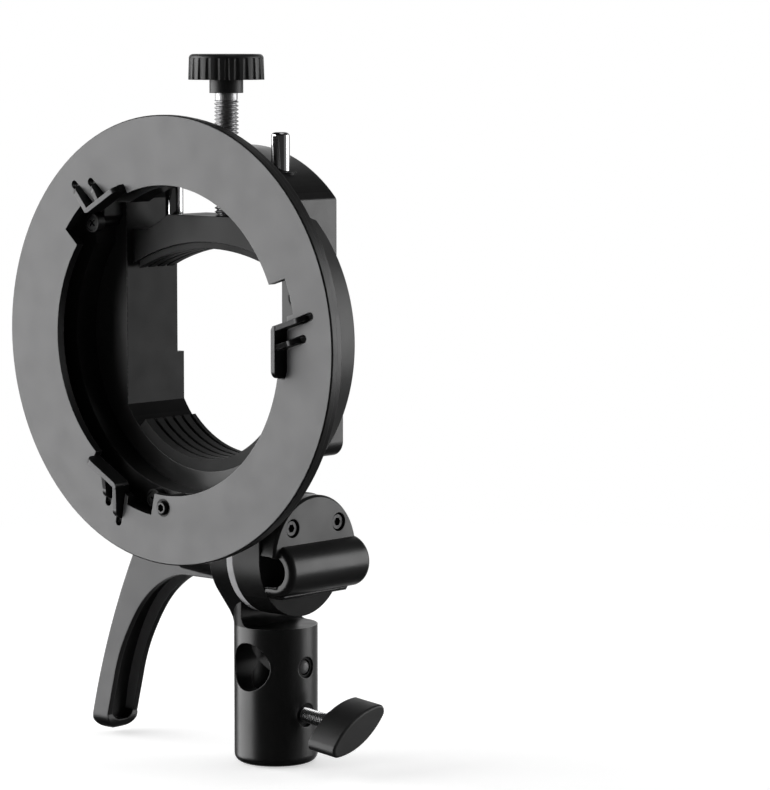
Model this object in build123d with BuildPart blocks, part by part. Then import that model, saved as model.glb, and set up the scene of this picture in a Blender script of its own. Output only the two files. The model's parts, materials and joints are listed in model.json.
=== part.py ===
"""Flash head bracket: bayonet ring, two-jaw flash clamp, tilting head with umbrella channel, stand socket.

Millimetres. +Z is up and the ring faces -Y. The origin is the centre of the stand socket's mouth.
Depths named *_d are measured back (+Y) from the ring's front face.
"""
import os
from math import acos, atan2, cos, hypot, radians, sin, sqrt
from build123d import *

os.makedirs("parts", exist_ok=True)

# ---------------------------------------------------------------- driving dimensions
# general clearances
gap = 0.3                 # faces of pieces that move past each other
run = 0.05                # radial running clearance of a turning or sliding pin

# stand socket
spigot_d = 15.875         # the 5/8 inch lighting stud it takes
socket_bore_d = 16.1
socket_od = 28.0
socket_depth = 42.3       # ends above the cross hole
tube_top = 46.4
foot_round = 3.0
cross_bore_z = 33.3
screw_z = 17.0            # height at which the locking screw leaves the socket's wall
screw_droop = 6.0         # its axis drops this much outwards
stud_d = 5.0
stud_clear = 0.45         # its tip rests this far short of the bore
stud_tip = (socket_od - socket_bore_d) / 2 - stud_clear
insert_od = 8.0
insert_sink = 0.8         # its outer end lies this far below the wall
plug_d = 5.2
plug_recess_d = 7.2
plug_z = 33.0

# tilt joint
tilt_z = 70.8
ear_r = 20.5
ear_out_x = -11.0
ear_in_x = -3.0
drum_r = 20.7
drum_w = 12.0
bolt_d = 8.0
bolt_head_af = 13.0
bolt_head_t = 5.5
bolt_in_hub = 16.0        # how far the bolt runs into the lever's hub

# umbrella cover
cover_t = 6.3             # drum face to the cover's flat face
channel_r = 5.2           # inside of the round half
channel_wall = 3.4
channel_x = 15.8          # centre of the round half
channel_z = -3.5          # below the tilt axis
channel_front = 18.0
channel_rear = 21.0
cover_screw_y = 11.2
cover_screw_z = 10.3
cover_screw_grip = 6.0    # length in the drum

# lever
lever_w = 14.6
lever_low = -69.3          # its tip, from the tilt axis
tip_round = 6.0
hub_r = 13.0
hub_len = 26.0

# ring and front body
ring_z = 144.3
ring_y = -51.5
ring_od = 145.0
ring_bore_d = 100.0
ring_t = 2.8
rim_od = 144.2            # lip behind the ring's outer edge
rim_wide = 3.0
rim_d = 4.8
notch_depth = 7.2
notch_w = 11.4
notch_angle = 17.4        # middle of the first entry notch
clip_cut_r = 53.4         # the ring is cut back this far behind each clip's bar
clip_proud = 4.3          # the clips' bars stand this far in front of the ring
clip_t = 1.6
arm_lean = 19.5           # the clips' arms lean this much from straight outwards
arm_pocket = 1.9          # the arms reach this far into their slots
pin_angle = 268.6
pin_ring_r = 54.0
pin_d = 4.5
pin_bush_od = 5.8
body_r = 60.5
tab_groove_r = 57.6
tab_groove_d = 9.0
body_d = 17.5
body_screw_r = 53.8

# clamp housing
drum_front_r = 57.0
drum_rear_r = 54.2
drum_rear_d = 31.0
box_half_w = 37.8
wall = 2.8
side_top = 45.6           # above the ring's centre
arch_r = 51.8
arch_z = 10.4
box_d = 41.0
low_d = 44.0              # the lower part reaches further back
low_top = -8.0            # and ends at this height
bottom_r = 48.0
foot_z = -38.0            # flat feet either side of the rounded bottom
foot_corner = 4.8
box_round = 1.2
cradle_r = 41.0
cradle_z = -2.6
pad_t = 3.8

# clamp
screw_d = 28.8            # depth of the clamp screw and guide rods
rod_x = box_half_w - 13.8
rod_d = 6.0
nut_seat_z = 53.5         # underside of the nut's boss, above the ring's centre
nut_od = 12.0
nut_t = 6.0
boss_seat_z = 49.5        # underside of the guide rods' bosses
clamp_d = 8.0
jaw_front_d = 20.0
jaw_rear_d = 38.0
jaw_top = 39.4
jaw_flat = 18.3
jaw_slope_x = 27.6
jaw_shoulder = 34.1
jaw_arc_r = 76.0
jaw_low = 31.0            # jaw's underside at the middle
rod_top = 66.9
knob_top = 91.7
knob_low = 83.4
knob_r = 12.4
knob_neck_low = 79.1

# saddle that carries the clamp housing on the tilt block
saddle_front_d = 20.0
saddle_x0, saddle_x1 = -10.0, 17.5
saddle_low = 13.0         # above the tilt axis
saddle_tall = 17.0
saddle_reach = 4.0        # how far up past the housing's bottom curve the saddle may come
saddle_seat = 3.0         # depth of the saddle screws' counterbores
saddle_screw_d = 7.0      # the saddle screws stand this far behind the saddle's front
saddle_screws_at = ((-5.5, 0), (13.0, 0))

face = Plane(origin=(0, ring_y, ring_z), x_dir=(1, 0, 0), z_dir=(0, -1, 0))
side = Plane(origin=(0, 0, tilt_z), x_dir=(0, 1, 0), z_dir=(1, 0, 0))
front = Plane(origin=(0, 0, tilt_z), x_dir=(1, 0, 0), z_dir=(0, -1, 0))
screw_y = ring_y + screw_d
saddle_low_z = tilt_z + saddle_low
saddle_screw_y = ring_y + saddle_front_d + saddle_screw_d
saddle_screw_top = ring_z + cradle_z - cradle_r - 1.0


def at_x(x):
    """Plane across the tilt axis at x: local x is +Y, local y is +Z, both from the tilt axis."""
    return side.offset(x)


def on_screw(distance):
    """Plane across the locking screw's axis, this far out from the socket's wall; local x is +Y."""
    droop = radians(screw_droop)
    return Plane(origin=(socket_od / 2 + distance * cos(droop), 0, screw_z - distance * sin(droop)),
                 x_dir=(0, 1, 0), z_dir=(cos(droop), 0, -sin(droop)))


def level(z, y=0.0, x=0.0):
    """Horizontal plane at height z with its origin at x, y."""
    return Plane(origin=(x, y, z), x_dir=(1, 0, 0), z_dir=(0, 0, 1))


# ---------------------------------------------------------------- stand socket and ear
ear_fillet = 3.9
ear_waist = (10.75, -19.7)   # end of the ear's straight flank, from the tilt axis
ear_foot = (sqrt((socket_od / 2) ** 2 - ear_out_x ** 2), tube_top - tilt_z)
flank_at = acos(ear_r / hypot(*ear_waist)) + atan2(ear_waist[1], ear_waist[0])
ear_flank = [(ear_r * cos(flank_at), ear_r * sin(flank_at)), ear_waist, (9.3, -22.2), ear_foot]
socket_plane = Plane(origin=(0, 0, 0), x_dir=(1, 0, 0), z_dir=(0, -1, 0))
with BuildPart() as socket_casting:
    with BuildSketch(level(0)):
        Circle(socket_od / 2)
    extrude(amount=tube_top - 4)
    fillet(socket_casting.edges().sort_by(Axis.Z)[0], radius=foot_round)
    with BuildPart(mode=Mode.PRIVATE) as riser_solid:
        with BuildSketch(socket_plane.offset(socket_od / 2)):
            with BuildLine():
                Polyline((ear_in_x, tube_top + ear_fillet), (ear_in_x, tilt_z), (ear_out_x, tilt_z),
                         (ear_out_x, tube_top + 5), (-socket_od / 2, tube_top - 1.5),
                         (-socket_od / 2, tube_top - 4), (socket_od / 2, tube_top - 4),
                         (socket_od / 2, tube_top), (ear_in_x + ear_fillet, tube_top))
                bend = ear_fillet * (1 - sqrt(0.5))
                ThreePointArc((ear_in_x + ear_fillet, tube_top), (ear_in_x + bend, tube_top + bend),
                              (ear_in_x, tube_top + ear_fillet))
            make_face()
        extrude(amount=-socket_od)
        with BuildSketch(level(tube_top - 4)):
            Circle(socket_od / 2)
        extrude(amount=tilt_z, mode=Mode.INTERSECT)
    add(riser_solid.part)
    with BuildSketch(at_x(ear_out_x)):
        Circle(ear_r)
        Polygon(*ear_flank, *[(-y, z) for y, z in reversed(ear_flank)], align=None)
    extrude(amount=ear_in_x - ear_out_x)
    with BuildSketch(at_x(ear_out_x)):
        Circle(bolt_d / 2 + run)
    extrude(amount=ear_in_x - ear_out_x, mode=Mode.SUBTRACT)
    with BuildSketch(level(0)):
        Circle(socket_bore_d / 2)
    extrude(amount=socket_depth, mode=Mode.SUBTRACT)
    with BuildSketch(socket_plane.offset(socket_od)):
        with Locations((0, cross_bore_z)):
            Circle(socket_bore_d / 2)
    extrude(amount=-2 * socket_od, mode=Mode.SUBTRACT)
    with BuildSketch(on_screw(-8.0)):
        Circle(insert_od / 2)
    extrude(amount=socket_od, mode=Mode.SUBTRACT)
    plug_plane = Plane(origin=(socket_od / 2, 0, plug_z), x_dir=(0, 1, 0), z_dir=(1, 0, 0))
    with BuildSketch(plug_plane):
        Circle(plug_d / 2)
    extrude(amount=-socket_od / 2, mode=Mode.SUBTRACT)
    with BuildSketch(plug_plane.offset(-1.0)):
        Circle(plug_recess_d / 2)
    extrude(amount=3, mode=Mode.SUBTRACT)
socket_casting.part.label = "socket_casting"

with BuildPart() as socket_plug:
    with BuildSketch(plug_plane.offset(-4.4)):
        Circle(plug_d / 2)
    extrude(amount=4.0)
    fillet(socket_plug.edges().sort_by(Axis.X)[-1], radius=2.0)
socket_plug.part.label = "socket_plug"

insert_in = (socket_od - socket_bore_d) / 2 - 0.8
with BuildPart() as screw_insert:
    with BuildSketch(on_screw(-insert_in)):
        Circle(insert_od / 2)
        Circle(stud_d / 2 + run, mode=Mode.SUBTRACT)
    extrude(amount=insert_in - insert_sink)
screw_insert.part.label = "screw_insert"

with BuildPart() as friction_washer:
    with BuildSketch(at_x(ear_in_x)):
        Circle(ear_r)
        Circle(bolt_d / 2 + 0.6, mode=Mode.SUBTRACT)
    extrude(amount=-ear_in_x - gap)
    chamfer(friction_washer.edges().filter_by(GeomType.CIRCLE).sort_by(Axis.X)[-1], length=0.4)
friction_washer.part.label = "friction_washer"

# ---------------------------------------------------------------- locking screw
knob_in = 12.2            # from the socket's wall to the wing's back face
wing_deep = 11.5
wing_long = 31.0
wing_thick = 10.4
wing_tip_round = 2.6
wing_tilt = 28.4          # above level, rising towards +Y
neck_len = 1.6
wing_arc = (wing_long ** 2 + wing_thick ** 2) / (4 * wing_thick)
wing_plane = on_screw(knob_in)
with BuildPart() as wing_knob:
    with BuildSketch(wing_plane) as lens:
        with BuildLine(Location((0, 0, 0), (0, 0, wing_tilt))):
            RadiusArc((-wing_long / 2, 0), (wing_long / 2, 0), wing_arc)
            RadiusArc((wing_long / 2, 0), (-wing_long / 2, 0), wing_arc)
        make_face()
        fillet(lens.vertices(), radius=wing_tip_round)
    extrude(amount=wing_deep)
    fillet(wing_knob.faces().sort_by(Axis.X)[-1].edges(), radius=0.8)
    with BuildSketch(wing_plane):
        Circle(4.2)
    extrude(amount=-neck_len, taper=8)
    with BuildSketch(wing_plane.offset(-neck_len)):
        Circle(stud_d / 2)
    extrude(amount=neck_len + 7.0, mode=Mode.SUBTRACT)
wing_knob.part.label = "wing_knob"

with BuildPart() as wing_stud:
    with BuildSketch(on_screw(-stud_tip)):
        Circle(stud_d / 2)
    extrude(amount=stud_tip + knob_in + 6.0)
    chamfer(wing_stud.edges().sort_by(Axis.X)[0], length=0.6)
wing_stud.part.label = "wing_stud"

# ---------------------------------------------------------------- tilt lever
lever_wall = 2.2
lever_span = 100.0        # clears the whole lever
arm_out = [(-hub_len - 18, 11.0), (-55.0, 4.5), (-60.6, -6.7), (-72.8, -36.25), (-81.1, -65.8)]
arm_in = [(-73.5, -63.9), (-71.0, -54.0), (-68.2, -43.7), (-62.5, -31.5), (-55.2, -21.2), (-46.0, -14.0)]
arm_hollow = [(-77.4, -67.5), (-75.6, -54.0), (-72.2, -42.5), (-66.8, -30.2), (-58.9, -19.3), (-46.8, -11.6),
              (-38.3, -9.2)]
hub_x = ear_out_x - gap
with BuildPart() as lever_handle:
    with BuildSketch(front.offset(lever_w / 2)) as arm:
        with BuildLine():
            top = Line((hub_x - 4, 11.0), arm_out[0])
            outer_bend = Spline(*arm_out[:3], tangents=[(-1, 0), (-0.43, -0.9)])
            outer_edge = ThreePointArc(*arm_out[2:])
            tip = ThreePointArc(arm_out[-1], (-78.2, lever_low), arm_in[0])
            inner_edge = Spline(*arm_in, (-36.0, -10.8), tangents=[(1.9, 8.0), (1, 0.12)])
            Line((-36.0, -10.8), (hub_x - 4, -10.8))
            Line((hub_x - 4, -10.8), (hub_x - 4, 11.0))
        make_face()
    extrude(amount=-lever_w)
    with BuildSketch(at_x(-lever_span)) as paddle:
        with Locations((0, lever_low)):
            Rectangle(lever_w, lever_span, align=(Align.CENTER, Align.MIN))
        fillet(paddle.vertices().group_by(Axis.Z)[0], radius=tip_round)
    extrude(amount=lever_span, mode=Mode.INTERSECT)
    with BuildSketch(at_x(hub_x)):
        Circle(hub_r)
    extrude(amount=-hub_len, taper=4)
    # hollow along the arm's inner side
    with BuildPart(mode=Mode.PRIVATE) as hollow:
        with BuildSketch(front.offset(lever_w / 2 - lever_wall)):
            with BuildLine():
                Spline(*arm_hollow)
                Polyline(arm_hollow[-1], (-37.0, -14.0), (-45.0, -25.0), (-60.0, -45.0), (-70.0, -67.5),
                         arm_hollow[0])
            make_face()
        extrude(amount=2 * lever_wall - lever_w)
        with BuildSketch(at_x(-lever_span)) as hollow_end:
            with Locations((0, lever_low + 3.2)):
                Rectangle(lever_w - 2 * lever_wall, lever_span, align=(Align.CENTER, Align.MIN))
            fillet(hollow_end.vertices(), radius=tip_round - lever_wall)
        extrude(amount=lever_span, mode=Mode.INTERSECT)
    add(hollow.part, mode=Mode.SUBTRACT)
    with BuildSketch(at_x(hub_x)):
        RegularPolygon(bolt_head_af / 2, 6, major_radius=False)
    extrude(amount=-13.0, mode=Mode.SUBTRACT)
    with BuildSketch(at_x(hub_x)):
        Circle(bolt_d / 2 + 0.5)
    extrude(amount=-18.0, mode=Mode.SUBTRACT)
lever_handle.part.label = "lever_handle"

with BuildPart() as lever_nut:
    with BuildSketch(at_x(hub_x - 3.0)):
        RegularPolygon(bolt_head_af / 2, 6, major_radius=False)
        Circle(bolt_d / 2 + run, mode=Mode.SUBTRACT)
    extrude(amount=-10.0)
lever_nut.part.label = "lever_nut"

# ---------------------------------------------------------------- bayonet ring
clip_x = 51.3             # middle of a clip's bar, out from the ring's centre
clip_end_y = -8.6
clip_end_round = 2.6
arm1_y, arm1_len = 7.0, 12.7
arm2_y, arm2_len = 0.9, 9.6
arm_drop = 1.6            # an arm's front edge falls this much, then rounds down into its slot
arm_round = clip_proud - arm_drop + 0.5
slot_w = 2.6
clip_low_y, clip_high_y = -8.9, 10.8   # ends of the cut-back
with BuildPart() as bayonet_ring:
    with BuildSketch(face):
        Circle(ring_od / 2)
        Circle(ring_bore_d / 2, mode=Mode.SUBTRACT)
    extrude(amount=-ring_t)
    chamfer(bayonet_ring.edges().filter_by(GeomType.CIRCLE).sort_by(SortBy.RADIUS)[-2:], length=0.4)
    with BuildSketch(face.offset(-ring_t)):
        Circle(rim_od / 2)
        Circle(rim_od / 2 - rim_wide, mode=Mode.SUBTRACT)
    extrude(amount=ring_t - rim_d)
    with BuildSketch(face):
        with PolarLocations(ring_bore_d / 2, 3, start_angle=notch_angle):
            Rectangle(2 * notch_depth, notch_w)
        Circle(ring_bore_d / 2 + notch_depth, mode=Mode.INTERSECT)
    extrude(amount=-ring_t, mode=Mode.SUBTRACT)
    with BuildSketch(face):
        with PolarLocations(0, 3):
            Polygon((45, clip_low_y), (clip_cut_r - 0.9, clip_low_y), (clip_cut_r, clip_low_y + 2.6),
                    (clip_cut_r, clip_high_y), (45, clip_high_y), align=None)
    extrude(amount=-ring_t, mode=Mode.SUBTRACT)
    with BuildSketch(face):
        with PolarLocations(0, 3):
            for y, length in ((arm1_y, arm1_len + 0.6), (arm2_y, arm2_len + 0.6)):
                with Locations(Location((clip_x, y, 0), (0, 0, arm_lean))):
                    with Locations((length / 2, 0)):
                        SlotOverall(length + slot_w / 2, slot_w)
    extrude(amount=-ring_t, mode=Mode.SUBTRACT)
    with BuildSketch(face):
        with PolarLocations(pin_ring_r, 1, start_angle=pin_angle):
            Circle(pin_bush_od / 2)
    extrude(amount=-ring_t, mode=Mode.SUBTRACT)
bayonet_ring.part.label = "bayonet_ring"

# F-shaped bayonet clips: one bar across the bore's edge, two arms running down into pockets in the ring
clips = []
for i, clip_name in enumerate(("clip_right", "clip_top", "clip_low")):
    turn = radians(120 * i)
    outward = (cos(turn), 0, sin(turn))
    sideways = (-sin(turn), 0, cos(turn))
    station = Plane(origin=(0, ring_y - clip_proud, ring_z), x_dir=outward, z_dir=(0, -1, 0))
    across = Plane(origin=(0, ring_y, ring_z), x_dir=sideways, z_dir=outward)
    with BuildPart() as clip:
        with BuildSketch(station) as bar:
            with Locations((clip_x, clip_end_y)):
                Rectangle(clip_t, arm1_y - clip_end_y + clip_t / 2, align=(Align.CENTER, Align.MIN))
            fillet(bar.vertices().group_by(Axis.Y)[-1].sort_by(Axis.X)[0], radius=clip_t - 0.1)
        extrude(amount=-(clip_proud + arm_pocket))
        # the bar's free end is rounded back
        with BuildSketch(across.offset(40)):
            with Locations((clip_end_y, clip_proud)):
                Rectangle(2 * clip_end_round, 2 * clip_end_round)
            with Locations((clip_end_y + clip_end_round, clip_proud - clip_end_round)):
                Circle(clip_end_round, mode=Mode.SUBTRACT)
        extrude(amount=20, mode=Mode.SUBTRACT)
        # arms, each drawn on its own flank: x along the arm, y back from the ring's face
        for y, length in ((arm1_y, arm1_len), (arm2_y, arm2_len)):
            lean = turn + radians(arm_lean)
            along = (cos(lean), 0, sin(lean))
            flank_dir = (-sin(lean), 0, cos(lean))
            root = station.from_local_coords((clip_x, y, 0))
            flank = Plane(origin=(root.X, ring_y, root.Z), x_dir=along, z_dir=flank_dir)
            shoulder = length - 1.5 - arm_round
            with BuildSketch(flank.offset(-clip_t / 2)):
                with BuildLine():
                    Polyline((0, arm_pocket), (0, -clip_proud), (shoulder, arm_drop - clip_proud))
                    CenterArc((shoulder, arm_drop - clip_proud + arm_round), arm_round, 270, 90)
                    Polyline((shoulder + arm_round, arm_drop - clip_proud + arm_round), (length, 1.0),
                             (length, arm_pocket), (0, arm_pocket))
                make_face()
            extrude(amount=clip_t)
    clip.part.label = clip_name
    clips.append(clip)
clip_right, clip_top, clip_low = clips

# ---------------------------------------------------------------- front body
with BuildPart() as front_body:
    with BuildSketch(face.offset(-ring_t)):
        Circle(body_r)
    extrude(amount=ring_t - body_d)
    with BuildSketch(face.offset(-ring_t)):
        Circle(tab_groove_r)
    extrude(amount=ring_t - tab_groove_d, mode=Mode.SUBTRACT)
    with BuildSketch(face.offset(-tab_groove_d)):
        with PolarLocations(body_screw_r, 3, start_angle=notch_angle):
            Circle(3.2)
    extrude(amount=3.0)
    with BuildSketch(face.offset(-ring_t)):
        with PolarLocations(pin_ring_r, 1, start_angle=pin_angle):
            Circle(3.9)
    extrude(amount=ring_t - tab_groove_d)
    with BuildSketch(face.offset(-tab_groove_d)):
        Circle(ring_bore_d / 2)
    extrude(amount=tab_groove_d - body_d, mode=Mode.SUBTRACT)
    # straight-sided window for the upper jaw
    with BuildSketch(face.offset(-tab_groove_d)):
        Polygon((-40.4, 0), (-40.4, 34.7), (-36.7, 38.6), (-36.7, 43.5), (36.7, 43.5), (36.7, 38.6),
                (40.4, 34.7), (40.4, 0), align=None)
    extrude(amount=tab_groove_d - body_d, mode=Mode.SUBTRACT)
    with BuildSketch(face.offset(-(tab_groove_d - 3.0))):
        with PolarLocations(body_screw_r, 3, start_angle=notch_angle):
            Circle(2.6)
    extrude(amount=-1.7, mode=Mode.SUBTRACT)
    with BuildSketch(face.offset(-(tab_groove_d - 3.0))):
        with PolarLocations(body_screw_r, 3, start_angle=notch_angle):
            Circle(1.5)
    extrude(amount=-body_d, mode=Mode.SUBTRACT)
    with BuildSketch(face.offset(-ring_t)):
        with PolarLocations(pin_ring_r, 1, start_angle=pin_angle):
            Circle(pin_bush_od / 2)
    extrude(amount=ring_t - 14.0, mode=Mode.SUBTRACT)
front_body.part.label = "front_body"

with BuildPart() as body_screws:
    with BuildSketch(face.offset(-(tab_groove_d - 3.0 + 0.1))):
        with PolarLocations(body_screw_r, 3, start_angle=notch_angle):
            Circle(2.5)
    extrude(amount=-1.6)
    with BuildSketch(face.offset(-(tab_groove_d - 3.0 + 1.7))):
        with PolarLocations(body_screw_r, 3, start_angle=notch_angle):
            Circle(1.5)
    extrude(amount=-(body_d + 4.0 - tab_groove_d + 1.3))
    with BuildSketch(face.offset(-(tab_groove_d - 3.0 + 0.1))):
        with PolarLocations(body_screw_r, 3, start_angle=notch_angle):
            Rectangle(3.0, 0.6)
            Rectangle(0.6, 3.0)
    extrude(amount=-0.8, mode=Mode.SUBTRACT)
body_screws.part.label = "body_screws"

# ---------------------------------------------------------------- lock pin
pin_out = 1.2
bush_len = 4.4
with BuildPart() as pin_bush:
    with BuildSketch(face):
        with PolarLocations(pin_ring_r, 1, start_angle=pin_angle):
            Circle(pin_bush_od / 2)
            Circle(pin_d / 2 + run, mode=Mode.SUBTRACT)
    extrude(amount=-bush_len)
pin_bush.part.label = "pin_bush"

with BuildPart() as lock_pin:
    with BuildSketch(face.offset(pin_out)):
        with PolarLocations(pin_ring_r, 1, start_angle=pin_angle):
            Circle(pin_d / 2)
    extrude(amount=-(pin_out + bush_len + gap))
    chamfer(lock_pin.edges().sort_by(Axis.Y)[0], length=0.5)
    with BuildSketch(face.offset(-(bush_len + gap))):
        with PolarLocations(pin_ring_r, 1, start_angle=pin_angle):
            Circle(pin_bush_od / 2 - run)
    extrude(amount=-1.0)
    with BuildSketch(face.offset(-(bush_len + gap + 1.0))):
        with PolarLocations(pin_ring_r, 1, start_angle=pin_angle):
            Circle(1.5)
    extrude(amount=-3.6)
    with BuildSketch(face.offset(pin_out)):
        with PolarLocations(pin_ring_r, 1, start_angle=pin_angle):
            RegularPolygon(1.3, 6)
    extrude(amount=-2.0, mode=Mode.SUBTRACT)
lock_pin.part.label = "lock_pin"

spring_front_d = bush_len + gap + 1.0
spring_rear_d = 14.0
spring_wire = 0.55
spring_turns = 6
with BuildPart() as pin_spring:
    spring_len = spring_rear_d - spring_front_d - spring_wire
    with BuildLine():
        coil = Helix(pitch=spring_len / spring_turns, height=spring_len, radius=2.2, direction=(0, 1, 0),
                     center=(pin_ring_r * cos(radians(pin_angle)), ring_y + spring_front_d + spring_wire / 2,
                             ring_z + pin_ring_r * sin(radians(pin_angle))))
    with BuildSketch(Plane(origin=coil @ 0, z_dir=coil % 0)):
        RegularPolygon(spring_wire / 2, 6)
    sweep(path=coil, is_frenet=True)
pin_spring.part.label = "pin_spring"

# ---------------------------------------------------------------- clamp housing
def box_outline(depth):
    """The rear box's outline: straight sides, arched top, rounded bottom on the cradle's curve."""
    arc_x = sqrt(bottom_r ** 2 - foot_z ** 2)
    corner = min(foot_corner, box_half_w - arc_x - 0.4)
    foot_x = box_half_w - corner
    with BuildSketch(face.offset(-depth)) as outline:
        with BuildLine():
            Line((-box_half_w, side_top), (-box_half_w, foot_z + corner))
            RadiusArc((-box_half_w, foot_z + corner), (-foot_x, foot_z), -corner)
            Line((-foot_x, foot_z), (-arc_x, foot_z))
            RadiusArc((-arc_x, foot_z), (arc_x, foot_z), -bottom_r)
            Line((arc_x, foot_z), (foot_x, foot_z))
            RadiusArc((foot_x, foot_z), (box_half_w, foot_z + corner), -corner)
            Line((box_half_w, foot_z + corner), (box_half_w, side_top))
            ThreePointArc((box_half_w, side_top), (0, arch_z + arch_r), (-box_half_w, side_top))
        make_face()
        fillet(outline.vertices().group_by(Axis.Y)[-1], radius=2.0)
    return outline.sketch


inner_half_w = box_half_w - wall
with BuildPart() as clamp_housing:
    with BuildSketch(face.offset(-body_d)) as c1:
        Circle(drum_front_r)
    with BuildSketch(face.offset(-drum_rear_d)) as c2:
        Circle(drum_rear_r)
    loft()
    fillet(clamp_housing.edges().filter_by(GeomType.CIRCLE).sort_by(Axis.Y)[-1], radius=0.6)
    with BuildPart(mode=Mode.PRIVATE) as rear_box:
        extrude(box_outline(body_d), amount=body_d - box_d)
        fillet(rear_box.faces().sort_by(Axis.Y)[-1].edges(), radius=box_round)
    add(rear_box.part)
    low_start_d = box_d - 2 * box_round
    with BuildPart(mode=Mode.PRIVATE) as low_block:
        extrude(box_outline(low_start_d), amount=low_start_d - low_d)
        fillet(low_block.faces().sort_by(Axis.Y)[-1].edges(), radius=box_round)
        with BuildSketch(face.offset(-low_start_d)):
            with Locations((0, low_top)):
                Rectangle(3 * box_half_w, 6 * box_half_w, align=(Align.CENTER, Align.MIN))
        extrude(amount=low_start_d - low_d, mode=Mode.SUBTRACT)
    add(low_block.part)
    # way through for the flash head
    with BuildSketch(face.offset(-body_d)):
        with Locations((0, arch_z)):
            Circle(arch_r - wall - 0.5)
        Rectangle(2 * inner_half_w, 6 * box_half_w, mode=Mode.INTERSECT)
        Rectangle(3 * box_half_w, 6 * box_half_w, align=(Align.CENTER, Align.MIN), mode=Mode.INTERSECT)
        with Locations((0, cradle_z)):
            Rectangle(2 * inner_half_w, 12)
    extrude(amount=body_d - low_d, mode=Mode.SUBTRACT)
    with BuildSketch(face.offset(-body_d)):
        with Locations((0, cradle_z)):
            Circle(cradle_r)
        Rectangle(2 * inner_half_w, 6 * box_half_w, mode=Mode.INTERSECT)
    extrude(amount=body_d - low_d, mode=Mode.SUBTRACT)
    # nut boss and guide bosses under the arch
    with BuildSketch(level(ring_z + nut_seat_z, screw_y)):
        Circle(nut_od / 2 + 1.6)
    extrude(amount=6.5)
    with BuildSketch(level(ring_z + boss_seat_z, screw_y)):
        with Locations((-rod_x, 0), (rod_x, 0)):
            Circle(rod_d / 2 + 2.1)
    extrude(amount=4.5)
    with BuildSketch(level(ring_z + nut_seat_z, screw_y)):
        Circle(nut_od / 2)
    extrude(amount=nut_t, mode=Mode.SUBTRACT)
    with BuildSketch(level(ring_z + boss_seat_z - 4.5, screw_y)):
        Circle(clamp_d / 2 + 0.3)
    extrude(amount=30, mode=Mode.SUBTRACT)
    with BuildSketch(level(ring_z + boss_seat_z - 4.5, screw_y)):
        with Locations((-rod_x, 0), (rod_x, 0)):
            Circle(rod_d / 2 + run)
    extrude(amount=30, mode=Mode.SUBTRACT)
    with BuildSketch(face.offset(-body_d)):
        with PolarLocations(body_screw_r, 3, start_angle=notch_angle):
            Circle(1.5)
    extrude(amount=-4.5, mode=Mode.SUBTRACT)
    with BuildSketch(level(saddle_low_z, saddle_screw_y)):
        with Locations(*saddle_screws_at):
            Circle(1.5)
    extrude(amount=saddle_screw_top - saddle_low_z + 0.2, mode=Mode.SUBTRACT)
clamp_housing.part.label = "clamp_housing"

with BuildPart() as clamp_nut:
    with BuildSketch(level(ring_z + nut_seat_z, screw_y)):
        Circle(nut_od / 2)
        Circle(clamp_d / 2 + run, mode=Mode.SUBTRACT)
    extrude(amount=nut_t)
clamp_nut.part.label = "clamp_nut"

pad_half_angle = 46.0
with BuildPart() as cradle_pad:
    with BuildSketch(face.offset(-body_d)):
        with Locations((0, cradle_z)):
            Circle(cradle_r)
            Circle(cradle_r - pad_t, mode=Mode.SUBTRACT)
            reach = cradle_r + 5
            hx = reach * sin(radians(pad_half_angle)) * 1.4
            hz = reach * cos(radians(pad_half_angle)) * 1.4
            Polygon((0, 0), (-hx, -hz), (hx, -hz), align=None, mode=Mode.INTERSECT)
    extrude(amount=body_d - box_d)
    for k in range(5):
        groove_d = body_d + 3.5 + 4.2 * k
        with BuildSketch(face.offset(-groove_d)):
            with Locations((0, cradle_z)):
                Circle(cradle_r - pad_t + 0.7)
        extrude(amount=-1.4, mode=Mode.SUBTRACT)
cradle_pad.part.label = "cradle_pad"

# ---------------------------------------------------------------- upper jaw, guide rods, clamp screw
jaw_half_w = inner_half_w - 0.4
jaw_arc_z = jaw_low - jaw_arc_r
jaw_edge_z = jaw_arc_z + sqrt(jaw_arc_r ** 2 - jaw_half_w ** 2)
with BuildPart() as clamp_jaw:
    with BuildSketch(face.offset(-jaw_front_d)):
        Polygon((-jaw_half_w, 18), (-jaw_half_w, jaw_shoulder), (-jaw_slope_x, jaw_shoulder),
                (-jaw_flat, jaw_top), (jaw_flat, jaw_top), (jaw_slope_x, jaw_shoulder),
                (jaw_half_w, jaw_shoulder), (jaw_half_w, 18), align=None)
        with Locations((0, jaw_arc_z)):
            Circle(jaw_arc_r, mode=Mode.SUBTRACT)
    extrude(amount=jaw_front_d - jaw_rear_d)
    with BuildSketch(level(ring_z + 20, screw_y)):
        with Locations((-rod_x, 0), (rod_x, 0)):
            Circle(rod_d / 2)
    extrude(amount=40, mode=Mode.SUBTRACT)
    with BuildSketch(level(ring_z + 20, screw_y)):
        Circle(3.0 + run)
    extrude(amount=40, mode=Mode.SUBTRACT)
    with BuildSketch(level(ring_z + 20, screw_y)):
        Circle(6.2)
    extrude(amount=jaw_top - 4.2 - 20, mode=Mode.SUBTRACT)
clamp_jaw.part.label = "clamp_jaw"

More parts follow.
